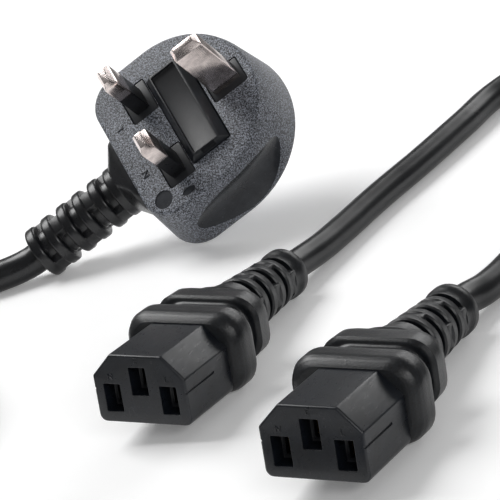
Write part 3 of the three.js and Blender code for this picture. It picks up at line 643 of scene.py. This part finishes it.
# %% Fuse carrier
FUSE_RADIUS, FUSE_LENGTH, FUSE_CAP, FUSE_Z = 3.15, 25.4, 5.6, -5.6
CLAW_Y, CLAW_HALF, CLAW_REACH = 4.6, 1.6, 4.4
CARRIER_MIDDLE = (CARRIER_X0 + CARRIER_X1) / 2
FUSE_AXIS = (Matrix.Translation((CARRIER_MIDDLE, 0, FUSE_Z))
             @ Matrix.Rotation(math.radians(-90), 4, "X"))


def carrier_ring(z, near, far, end):
    return [Vector((x, y, z)) for x, y in (
        (CARRIER_X1 - far, CARRIER_Y - end), (CARRIER_X0 + near, CARRIER_Y - end),
        (CARRIER_X0 + near, end - CARRIER_Y), (CARRIER_X1 - far, end - CARRIER_Y))]


head_mesh = bmesh.new()
loft(head_mesh, [carrier_ring(-2, 0, 0, 0), carrier_ring(0.2, 0, 0, 0),
                 carrier_ring(CARRIER_RISE, 1.4, 2.0, 0.5)])
bmesh.ops.bevel(head_mesh, geom=list(head_mesh.edges), offset=0.35, segments=3, profile=0.5,
                affect="EDGES", material=-1)
carrier = finish_piece("carrier_head", head_mesh, PLUG, [carrier_slate, seat_slate],
                       ["fuse_carrier"], DRAWER)
sunk = bmesh.new()
block(sunk, (CARRIER_X0 + 1.9, 1.2 - CARRIER_Y, CARRIER_RISE - 0.8),
      (CARRIER_X1 - 2.5, CARRIER_Y - 1.2, CARRIER_RISE + 2), 0.35, index=1)
for side in (1, -1):
    block(sunk, (CARRIER_MIDDLE - 2, side * CARRIER_Y - 0.9, 0.4),
          (CARRIER_MIDDLE + 2, side * CARRIER_Y + 0.9, CARRIER_RISE + 2), 0.1, index=1)
cut(carrier, sunk, PLUG)

claw_mesh = bmesh.new()
for y in (CLAW_Y, -CLAW_Y):
    block(claw_mesh, (CARRIER_MIDDLE - CLAW_REACH, y - CLAW_HALF, FUSE_Z - FUSE_RADIUS * 0.62),
          (CARRIER_MIDDLE + CLAW_REACH, y + CLAW_HALF, -1.9), 0.2)
claws = finish_piece("carrier_claws", claw_mesh, PLUG, [carrier_slate],
                     ["fuse_carrier"], DRAWER)
bore = bmesh.new()
spun(bore, [(0, -9), (FUSE_RADIUS + 0.3, -9), (FUSE_RADIUS + 0.3, 9), (0, 9)], FUSE_AXIS, 40)
cut(claws, bore, PLUG)

# %% Fuse
fuse_inner = FUSE_LENGTH / 2 - FUSE_CAP
fuse_end = FUSE_LENGTH / 2
tube_mesh = bmesh.new()
spun(tube_mesh, [(0, -fuse_inner - 1), (FUSE_RADIUS - 0.15, -fuse_inner - 1),
                 (FUSE_RADIUS - 0.15, fuse_inner + 1), (0, fuse_inner + 1)], FUSE_AXIS)
finish_piece("fuse_barrel", tube_mesh, PLUG, [glazed_ceramic], ["fuse_tube"],
             DRAWER)
for name, side in (("live", 1), ("neutral", -1)):
    cap_mesh = bmesh.new()
    spun(cap_mesh, [(0, side * fuse_inner), (FUSE_RADIUS - 0.1, side * fuse_inner),
                    (FUSE_RADIUS, side * (fuse_inner + 0.3)),
                    (FUSE_RADIUS, side * (fuse_end - 0.5)),
                    (FUSE_RADIUS - 0.15, side * (fuse_end - 0.15)),
                    (FUSE_RADIUS - 0.5, side * fuse_end), (0, side * fuse_end)], FUSE_AXIS)
    finish_piece(f"fuse_ferrule_{name}", cap_mesh, PLUG, [rolled_brass],
                 [f"fuse_cap_{name}_side"], DRAWER)

# %% [markdown]
# ## The connectors' noses
# Each connector's smooth nose is a block with two chamfered corners and three slots that lead to
# the contacts. Its outline has rounded corners, and its front edge is rolled over a little, so it
# catches a fine line of light. Slots and side grooves are cut with bevelled blocks.

# %% Nose sizes
CONNECTOR_TILT, CONNECTOR_ROLL = -7.0, 6.3
CONNECTORS = {"a": (9.1, -180.2, 5.18), "b": (64.6, -207.2, 5.18)}
NOSE_X, NOSE_HEIGHT, NOSE_LENGTH, NOSE_CHAMFER, NOSE_FOOT = 11.5, 15.6, 18.2, 5.0, 1.6
NOSE_CORNER, NOSE_ROLL, NOSE_OVERLAP = 0.7, 0.6, 0.4
SLOT_PITCH, SLOT_EARTH_Z, SLOT_LINE_Z, SLOT_WIDE, SLOT_TALL, SLOT_PIT = 7.0, 9.7, 5.7, 4.2, 6.4, 4.0
HOLE_WIDE, HOLE_TALL, HOLE_END = 2.6, 4.6, 16
GROOVE_Z, GROOVE_WIDE, GROOVE_DEEP, GROOVE_LENGTH = 7.6, 0.6, 0.4, 12.0
SLOTS = (("N", -SLOT_PITCH, SLOT_LINE_Z), ("E", 0, SLOT_EARTH_Z), ("L", SLOT_PITCH, SLOT_LINE_Z))

# %% Noses


def connector_place(letter):
    tilt = Matrix.Rotation(math.radians(CONNECTOR_TILT), 4, "X")
    roll = Matrix.Rotation(math.radians(CONNECTOR_ROLL), 4, "Y")
    return Matrix.Translation((Vector(CONNECTORS[letter]) + SHIFT) * MM) @ tilt @ roll


def rounded_corners(corners, radii, steps=5):
    points = []
    for i, radius in enumerate(radii):
        here = Vector(corners[i])
        before = (Vector(corners[i - 1]) - here).normalized()
        after = (Vector(corners[(i + 1) % len(corners)]) - here).normalized()
        half = before.angle(after) / 2
        centre = here + (before + after).normalized() * radius / math.sin(half)
        start = here + before * radius / math.tan(half) - centre
        end = here + after * radius / math.tan(half) - centre
        points += [centre + start.slerp(end, s / steps).normalized() * radius
                   for s in range(steps + 1)]
    return points


NOSE_OUTLINE = rounded_corners(
    [(NOSE_X, NOSE_HEIGHT - NOSE_CHAMFER), (NOSE_X - NOSE_CHAMFER, NOSE_HEIGHT),
     (NOSE_CHAMFER - NOSE_X, NOSE_HEIGHT), (-NOSE_X, NOSE_HEIGHT - NOSE_CHAMFER),
     (-NOSE_X, 0), (NOSE_X, 0)], [NOSE_CORNER] * 4 + [NOSE_FOOT] * 2)


def nose_ring(y, inset):
    share = 1 - inset / NOSE_X
    middle = NOSE_HEIGHT / 2
    return [Vector((p.x * share, y, middle + (p.y - middle) * share)) for p in NOSE_OUTLINE]


def make_nose(letter):
    place = connector_place(letter)
    mesh = bmesh.new()
    roll = [math.radians(18 * i) for i in range(6)]
    rings = [nose_ring(NOSE_ROLL * (1 - math.cos(a)), NOSE_ROLL * (1 - math.sin(a))) for a in roll]
    loft(mesh, rings + [nose_ring(NOSE_LENGTH + NOSE_OVERLAP, 0)])
    nose = finish_piece(f"connector_{letter}_nose", mesh, place, [nose_slate, pit_black_painted_shade],
                        [f"connector_{letter}_insert"])
    pits = bmesh.new()
    for _, x, z in SLOTS:
        block(pits, (x - SLOT_WIDE / 2, -1, z - SLOT_TALL / 2),
              (x + SLOT_WIDE / 2, SLOT_PIT, z + SLOT_TALL / 2), 0.25)
    for side in (1, -1):
        block(pits, (side * NOSE_X - GROOVE_DEEP, -1, GROOVE_Z - GROOVE_WIDE / 2),
              (side * NOSE_X + GROOVE_DEEP, GROOVE_LENGTH, GROOVE_Z + GROOVE_WIDE / 2), 0.1)
    cut(nose, pits, place)
    # The deep holes take the second, darker material, which paints the shade inside them
    holes = bmesh.new()
    for _, x, z in SLOTS:
        block(holes, (x - HOLE_WIDE / 2, SLOT_PIT - 0.5, z - HOLE_TALL / 2),
              (x + HOLE_WIDE / 2, HOLE_END, z + HOLE_TALL / 2), 0.1, index=1)
    cut(nose, holes, place)


for letter in CONNECTORS:
    make_nose(letter)

# %% [markdown]
# ## The connectors' rears
# Behind the nose a grained rear is moulded on: a wide flange, a narrow waist, a second grip and a
# tapering relief with slots that change sides. Rounded outlines along its length are bridged, with
# close stations where it steps, and the relief is spun like the plug's.

# %% Rear sizes
FLANGE_X, FLANGE_LOW, FLANGE_HIGH, FLANGE_THICK, FLANGE_CORNER = 14.5, -1.0, 17.5, 7.5, 6.0
WAIST_X, WAIST_LOW, WAIST_HIGH, WAIST_LENGTH = 10.8, 2.6, 15.8, 4.6
HANDLE_X, HANDLE_LOW, HANDLE_HIGH, HANDLE_LENGTH, HANDLE_CORNER = 13.0, 2.3, 17.3, 6.4, 5.5
TAIL_Z, TAIL_START, TAIL_END, TAIL_COLLAR, TAIL_SLOTS = 9.2, 7.2, 5.6, 4.0, 5
TAIL_SLOT, TAIL_LAND, TAIL_RING, TAIL_CORE, TAIL_WEB = 1.7, 2.7, 2.6, 4.4, 2.6
FRONT = NOSE_LENGTH + 0.3
WAIST_Y = FRONT + FLANGE_THICK
HANDLE_Y = WAIST_Y + WAIST_LENGTH
BACK = HANDLE_Y + HANDLE_LENGTH
REAR_STATIONS = [
    (FRONT, FLANGE_X - 2.4, FLANGE_LOW + 1, WAIST_HIGH, 5),
    (FRONT + 0.5, FLANGE_X - 1.2, FLANGE_LOW + 0.5, FLANGE_HIGH - 1.2, 6),
    (FRONT + 1.4, FLANGE_X - 0.4, FLANGE_LOW + 0.2, FLANGE_HIGH - 0.5, 6),
    (FRONT + 2.8, FLANGE_X, FLANGE_LOW, FLANGE_HIGH, 6),
    (WAIST_Y - 1.2, FLANGE_X, FLANGE_LOW, FLANGE_HIGH, 6),
    (WAIST_Y - 0.5, FLANGE_X - 0.25, FLANGE_LOW + 0.2, FLANGE_HIGH - 0.15, 6),
    (WAIST_Y, FLANGE_X - 1.2, FLANGE_LOW + 0.8, FLANGE_HIGH - 0.6, 6),
    (WAIST_Y + 0.3, WAIST_X + 0.6, WAIST_LOW - 0.5, WAIST_HIGH + 0.3, 6),
    (WAIST_Y + 1.0, WAIST_X, WAIST_LOW, WAIST_HIGH, 6),
    (HANDLE_Y - 0.7, WAIST_X, WAIST_LOW, WAIST_HIGH, 6),
    (HANDLE_Y - 0.2, WAIST_X + 0.5, WAIST_LOW - 0.1, WAIST_HIGH + 0.3, 6),
    (HANDLE_Y + 0.1, HANDLE_X - 0.8, HANDLE_LOW + 0.4, HANDLE_HIGH - 0.6, HANDLE_CORNER),
    (HANDLE_Y + 0.8, HANDLE_X, HANDLE_LOW, HANDLE_HIGH, HANDLE_CORNER),
    (BACK - 1.4, HANDLE_X - 0.3, HANDLE_LOW, HANDLE_HIGH, HANDLE_CORNER),
    (BACK - 0.4, HANDLE_X - 0.9, HANDLE_LOW + 0.3, HANDLE_HIGH - 0.3, HANDLE_CORNER),
    (BACK, HANDLE_X - 1.9, HANDLE_LOW + 0.8, HANDLE_HIGH - 0.9, HANDLE_CORNER),
    (BACK + 1.0, TAIL_START + 1.9, TAIL_Z - TAIL_START - 0.4, TAIL_Z + TAIL_START + 0.5,
     TAIL_START),
    (BACK + 2.4, TAIL_START + 0.5, TAIL_Z - TAIL_START - 0.1, TAIL_Z + TAIL_START + 0.1,
     TAIL_START),
    (BACK + 4.4, TAIL_START, TAIL_Z - TAIL_START, TAIL_Z + TAIL_START, TAIL_START),
]
TAIL_AXIS = Matrix.Translation((0, BACK + 2.4, TAIL_Z)) @ Matrix.Rotation(math.radians(-90), 4, "X")
TAIL_LENGTH = TAIL_COLLAR + TAIL_SLOTS * (TAIL_SLOT + TAIL_LAND)

# %% Rears


def tail_radius(y):
    return TAIL_START + (TAIL_END - TAIL_START) * y / TAIL_LENGTH


def tail_land(mesh, low, high, soft=0.4):
    spun(mesh, [(0, low), (tail_radius(low) - soft, low), (tail_radius(low), low + soft),
                (tail_radius(high), high - soft), (tail_radius(high) - soft, high), (0, high)],
         TAIL_AXIS)


def add_tail(mesh):
    core_end = TAIL_LENGTH + 0.5
    spun(mesh, [(0, 0), (TAIL_CORE, 0), (TAIL_CORE, core_end), (0, core_end)], TAIL_AXIS, 40)
    tail_land(mesh, -1, TAIL_COLLAR)
    y = TAIL_COLLAR
    for i in range(TAIL_SLOTS):
        reach = tail_radius(y + TAIL_SLOT) - 0.35
        across = (reach, TAIL_WEB) if i % 2 == 0 else (TAIL_WEB, reach)
        block(mesh, (-across[0], -across[1], y - 0.5), (*across, y + TAIL_SLOT + 0.5), 0.3,
              place=TAIL_AXIS)
        if i + 1 < TAIL_SLOTS:
            tail_land(mesh, y + TAIL_SLOT, y + TAIL_SLOT + TAIL_LAND)
        y += TAIL_SLOT + TAIL_LAND
    end_ring = [(0, y - TAIL_LAND), (TAIL_END, y - TAIL_LAND), (TAIL_END + 0.1, y - 0.5),
                (TAIL_END + 0.5, y), (TAIL_END + 0.5, y + 2), (TAIL_END + 0.1, y + TAIL_RING),
                (0, y + TAIL_RING)]
    spun(mesh, end_ring, TAIL_AXIS)


for letter in CONNECTORS:
    rear_mesh = bmesh.new()
    loft(rear_mesh, [[Vector((x, y, z)) for x, z in rounded_outline(*rest)]
                     for y, *rest in between(REAR_STATIONS, 3)])
    add_tail(rear_mesh)
    finish_piece(f"connector_{letter}_rear", rear_mesh, connector_place(letter), [connector_black],
                 [f"connector_{letter}_body"], angle=40)

# %% [markdown]
# ## The junction
# Where the trunk becomes two legs, a plain fork is moulded over the joint, with a grooved stub
# for each cord. The photograph doesn't show it, so it has only the form that such forks share. Its
# body is bridged from rounded sections, and each stub is spun from a grooved profile.

# %% Junction
FORK_LENGTH, FORK_TRUNK, FORK_LEGS, FORK_HEIGHT, FORK_PITCH = 40.0, 8.5, 17.5, 14.0, 18.0
STUB, STUB_START, STUB_END, STUB_GROOVES, STUB_GROOVE, STUB_DEEP = 15.0, 6.4, 5.4, 3, 1.4, 0.9


def stub_radius(h):
    return STUB_START + (STUB_END - STUB_START) * h / STUB


def add_stub(mesh, end, x, y):
    profile = [(0, -4), (STUB_START, -4), (STUB_START, 0)]
    for i in range(1, STUB_GROOVES + 1):
        low = i * STUB / (STUB_GROOVES + 1) - STUB_GROOVE / 2
        high = low + STUB_GROOVE
        wide, deep = stub_radius(low), stub_radius(low) - STUB_DEEP
        profile += [(wide, low - 0.2), (wide - 0.25, low), (deep, low + 0.1), (deep, high - 0.1),
                    (wide - 0.25, high), (wide, high + 0.2)]
    profile += [(STUB_END, STUB - 0.5), (STUB_END - 0.5, STUB), (0, STUB)]
    spun(mesh, profile, Matrix.Translation((x, y, FORK_HEIGHT / 2))
         @ Matrix.Rotation(math.radians(end * 90), 4, "Y"), 40)


half = FORK_LENGTH / 2
fork_mesh = bmesh.new()
loft(fork_mesh, [[Vector((x, y, z)) for y, z in
                  rounded_outline(wide - trim, trim, FORK_HEIGHT - trim, 5)]
                 for x, wide, trim in ((-half, FORK_TRUNK, 1.6), (0.5 - half, FORK_TRUNK, 0.7),
                                       (1.8 - half, FORK_TRUNK, 0), (0.4 * half, FORK_LEGS, 0),
                                       (half - 1.8, FORK_LEGS, 0), (half - 0.5, FORK_LEGS, 0.7),
                                       (half, FORK_LEGS, 1.6))])
add_stub(fork_mesh, -1, -half, 0)
add_stub(fork_mesh, 1, half, FORK_PITCH / 2)
add_stub(fork_mesh, 1, half, -FORK_PITCH / 2)
finish_piece("fork", fork_mesh, laid((116.5, -132, 0), 90), [connector_black],
             ["junction_body"])

# %% [markdown]
# ## Letters
# Generic letters name the lines beside the pins and the slots. They are moulded a tenth of a
# millimetre proud. A font curve gives their outlines, and it is made a mesh before it is laid.

# %% Letters
LETTER_RISE, FACE_LIFT, SLOT_LETTER, PLUG_LETTER = 0.12, 0.02, 1.9, 2.8
FACING_FRONT = Matrix.Rotation(math.radians(90), 4, "X")
READING = Matrix.Rotation(math.radians(90), 4, "Z")


def raised_letter(name, text, place, size, material, replaced):
    curve = bpy.data.curves.new(name, "FONT")
    curve.body = text
    curve.size = size
    curve.extrude = LETTER_RISE
    curve.align_x, curve.align_y = "CENTER", "CENTER"
    draft = bpy.data.objects.new("draft", curve)
    bpy.context.scene.collection.objects.link(draft)
    bpy.context.view_layer.update()
    graph = bpy.context.evaluated_depsgraph_get()
    data = bpy.data.meshes.new_from_object(draft.evaluated_get(graph))
    bpy.data.objects.remove(draft)
    data.transform(place @ Matrix.Scale(MM, 4))
    data.materials.clear()
    data.materials.append(material)
    mark = bpy.data.objects.new(name, data)
    bpy.context.scene.collection.objects.link(mark)
    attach(mark, BODY)
    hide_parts(replaced)


def at_mm(*spot):
    return Matrix.Translation(Vector(spot) * MM)


for letter in CONNECTORS:
    for text, x, z in SLOTS:
        above = at_mm(x, -FACE_LIFT, z + SLOT_TALL / 2 + 1.5)
        raised_letter(f"connector_{letter}_mark_{text}", text,
                      connector_place(letter) @ above @ FACING_FRONT, SLOT_LETTER, nose_slate,
                      f"connector_{letter}_insert")
for text, x, y in (("L", -7.6, 8.0), ("N", -7.6, -8.0), ("E", 18.6, 7.4)):
    raised_letter(f"plug_mark_{text}", text, PLUG @ at_mm(x, y, FACE_LIFT) @ READING,
                  PLUG_LETTER, hollow_black_painted_sheen, "plug_body")
print("letters made:", 3 * len(CONNECTORS) + 3)

# %% [markdown]
# ## The strap
# A rubber strap holds the coil's turns. Four rounded loops, inner and outer at both of its edges,
# are bridged into a closed band, and a bevelled keeper lies over its tucked end.

# %% Strap
STRAP_X, STRAP_LOW, STRAP_HIGH = 39.3, 1.15, 17.75
STRAP_HALF, STRAP_WIDE, STRAP_THICK, STRAP_CORNER = 8.35, 4.5, 0.85, 3.5


def strap_loop(margin, y):
    return [Vector((STRAP_X + x, y, z)) for x, z in rounded_outline(
        STRAP_HALF + margin, STRAP_LOW - margin, STRAP_HIGH + margin, STRAP_CORNER + margin, 6)]


strap_mesh = bmesh.new()
loops = [closed_ring(strap_mesh, strap_loop(margin, y)) for margin, y in (
    (0, -STRAP_WIDE), (STRAP_THICK, -STRAP_WIDE), (STRAP_THICK, STRAP_WIDE), (0, STRAP_WIDE))]
for first, second in zip(loops, loops[1:] + loops[:1]):
    bmesh.ops.bridge_loops(strap_mesh, edges=first + second)
block(strap_mesh, (STRAP_X - 3, -STRAP_WIDE - 0.4, STRAP_HIGH + 0.2),
      (STRAP_X + 3, STRAP_WIDE + 0.4, STRAP_HIGH + 1.1), 0.3)
strap = finish_piece("coil_strap", strap_mesh, laid(COIL_CENTRE), [strap_rubber],
                     ["coil_tie"])

# %% [markdown]
# ## Contacts and clips
# These sit inside and keep the frame's own meshes, which already have the folded strip's form.
# They only need the brass.

# %% Contacts and clips
for node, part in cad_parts.items():
    if "contact" in node or "clip" in node:
        part.data.materials.clear()
        part.data.materials.append(rolled_brass)

# %% [markdown]
# ## Floor and light
# A pale floor under soft studio light: a broad key from the upper left and back, which runs along
# the cords as one long highlight, a narrow fill from the right that shows in the thumb hollow, and
# an even surround. The surround is kept low, because a black plastic mirrors it all over. Together
# they light the floor at a plain level, at which a colour looks about as it is written.

# %% Floor
FLOOR_SIZE = 6.0
FLOOR_GLOW = 0.14
floor_mesh = bmesh.new()
bmesh.ops.create_grid(floor_mesh, x_segments=1, y_segments=1, size=FLOOR_SIZE / 2)
floor_data = bpy.data.meshes.new("floor")
floor_mesh.to_mesh(floor_data)
floor_mesh.free()
floor = bpy.data.objects.new("floor", floor_data)
bpy.context.scene.collection.objects.link(floor)
floor_paper = surface("floor_matt_paper", ("f6f6f6", "fbfbfb"), (40.0, 2.0, EVEN),
                      (0.8, 2.0, EVEN), (0.85, 0.95), 0.01)
floor_data.materials.append(floor_paper)
# The floor glows a little where it is looked at or mirrored, so it is white and lights nothing
tree = floor_paper.node_tree
seen = add_node(tree, "ShaderNodeLightPath", "Is Camera Ray")
for kind in ("Is Glossy Ray", "Is Transmission Ray"):
    seen = add_node(tree, "ShaderNodeMath", "Value", {
        0: seen, 1: add_node(tree, "ShaderNodeLightPath", kind)}, operation="MAXIMUM")
glow = add_node(tree, "ShaderNodeMath", "Value", {0: seen, 1: FLOOR_GLOW}, operation="MULTIPLY")
paper_shader = tree.nodes["Principled BSDF"]
paper_shader.inputs["Emission Color"].default_value = (1, 1, 1, 1)
tree.links.new(glow, paper_shader.inputs["Emission Strength"])
print("floor laid, glow", FLOOR_GLOW)

# %% Light
AIM = Vector((-0.02, -0.08, 0.02)) + SHIFT * MM
SURROUND = 0.2


def area_light(name, place, size, power):
    data = bpy.data.lights.new(name, "AREA")
    data.shape = "RECTANGLE"
    data.size, data.size_y = size
    data.energy = power
    lamp = bpy.data.objects.new(name, data)
    bpy.context.scene.collection.objects.link(lamp)
    lamp.location = Vector(place) + SHIFT * MM
    lamp.rotation_euler = (AIM - lamp.location).to_track_quat("-Z", "Y").to_euler()


world = bpy.data.worlds.new("surround")
bpy.context.scene.world = world
world.use_nodes = True
tree = world.node_tree
tree.nodes["Background"].inputs["Color"].default_value = (1, 1, 1, 1)
tree.nodes["Background"].inputs["Strength"].default_value = SURROUND
area_light("key", (-0.9, 0.1, 1.2), (0.9, 0.9), 19)
area_light("fill", (1.1, -0.9, 0.7), (0.7, 0.25), 5.5)
area_light("back", (0.2, 1.3, 0.7), (1.4, 0.5), 7)
bpy.context.scene.view_settings.view_transform = "Standard"
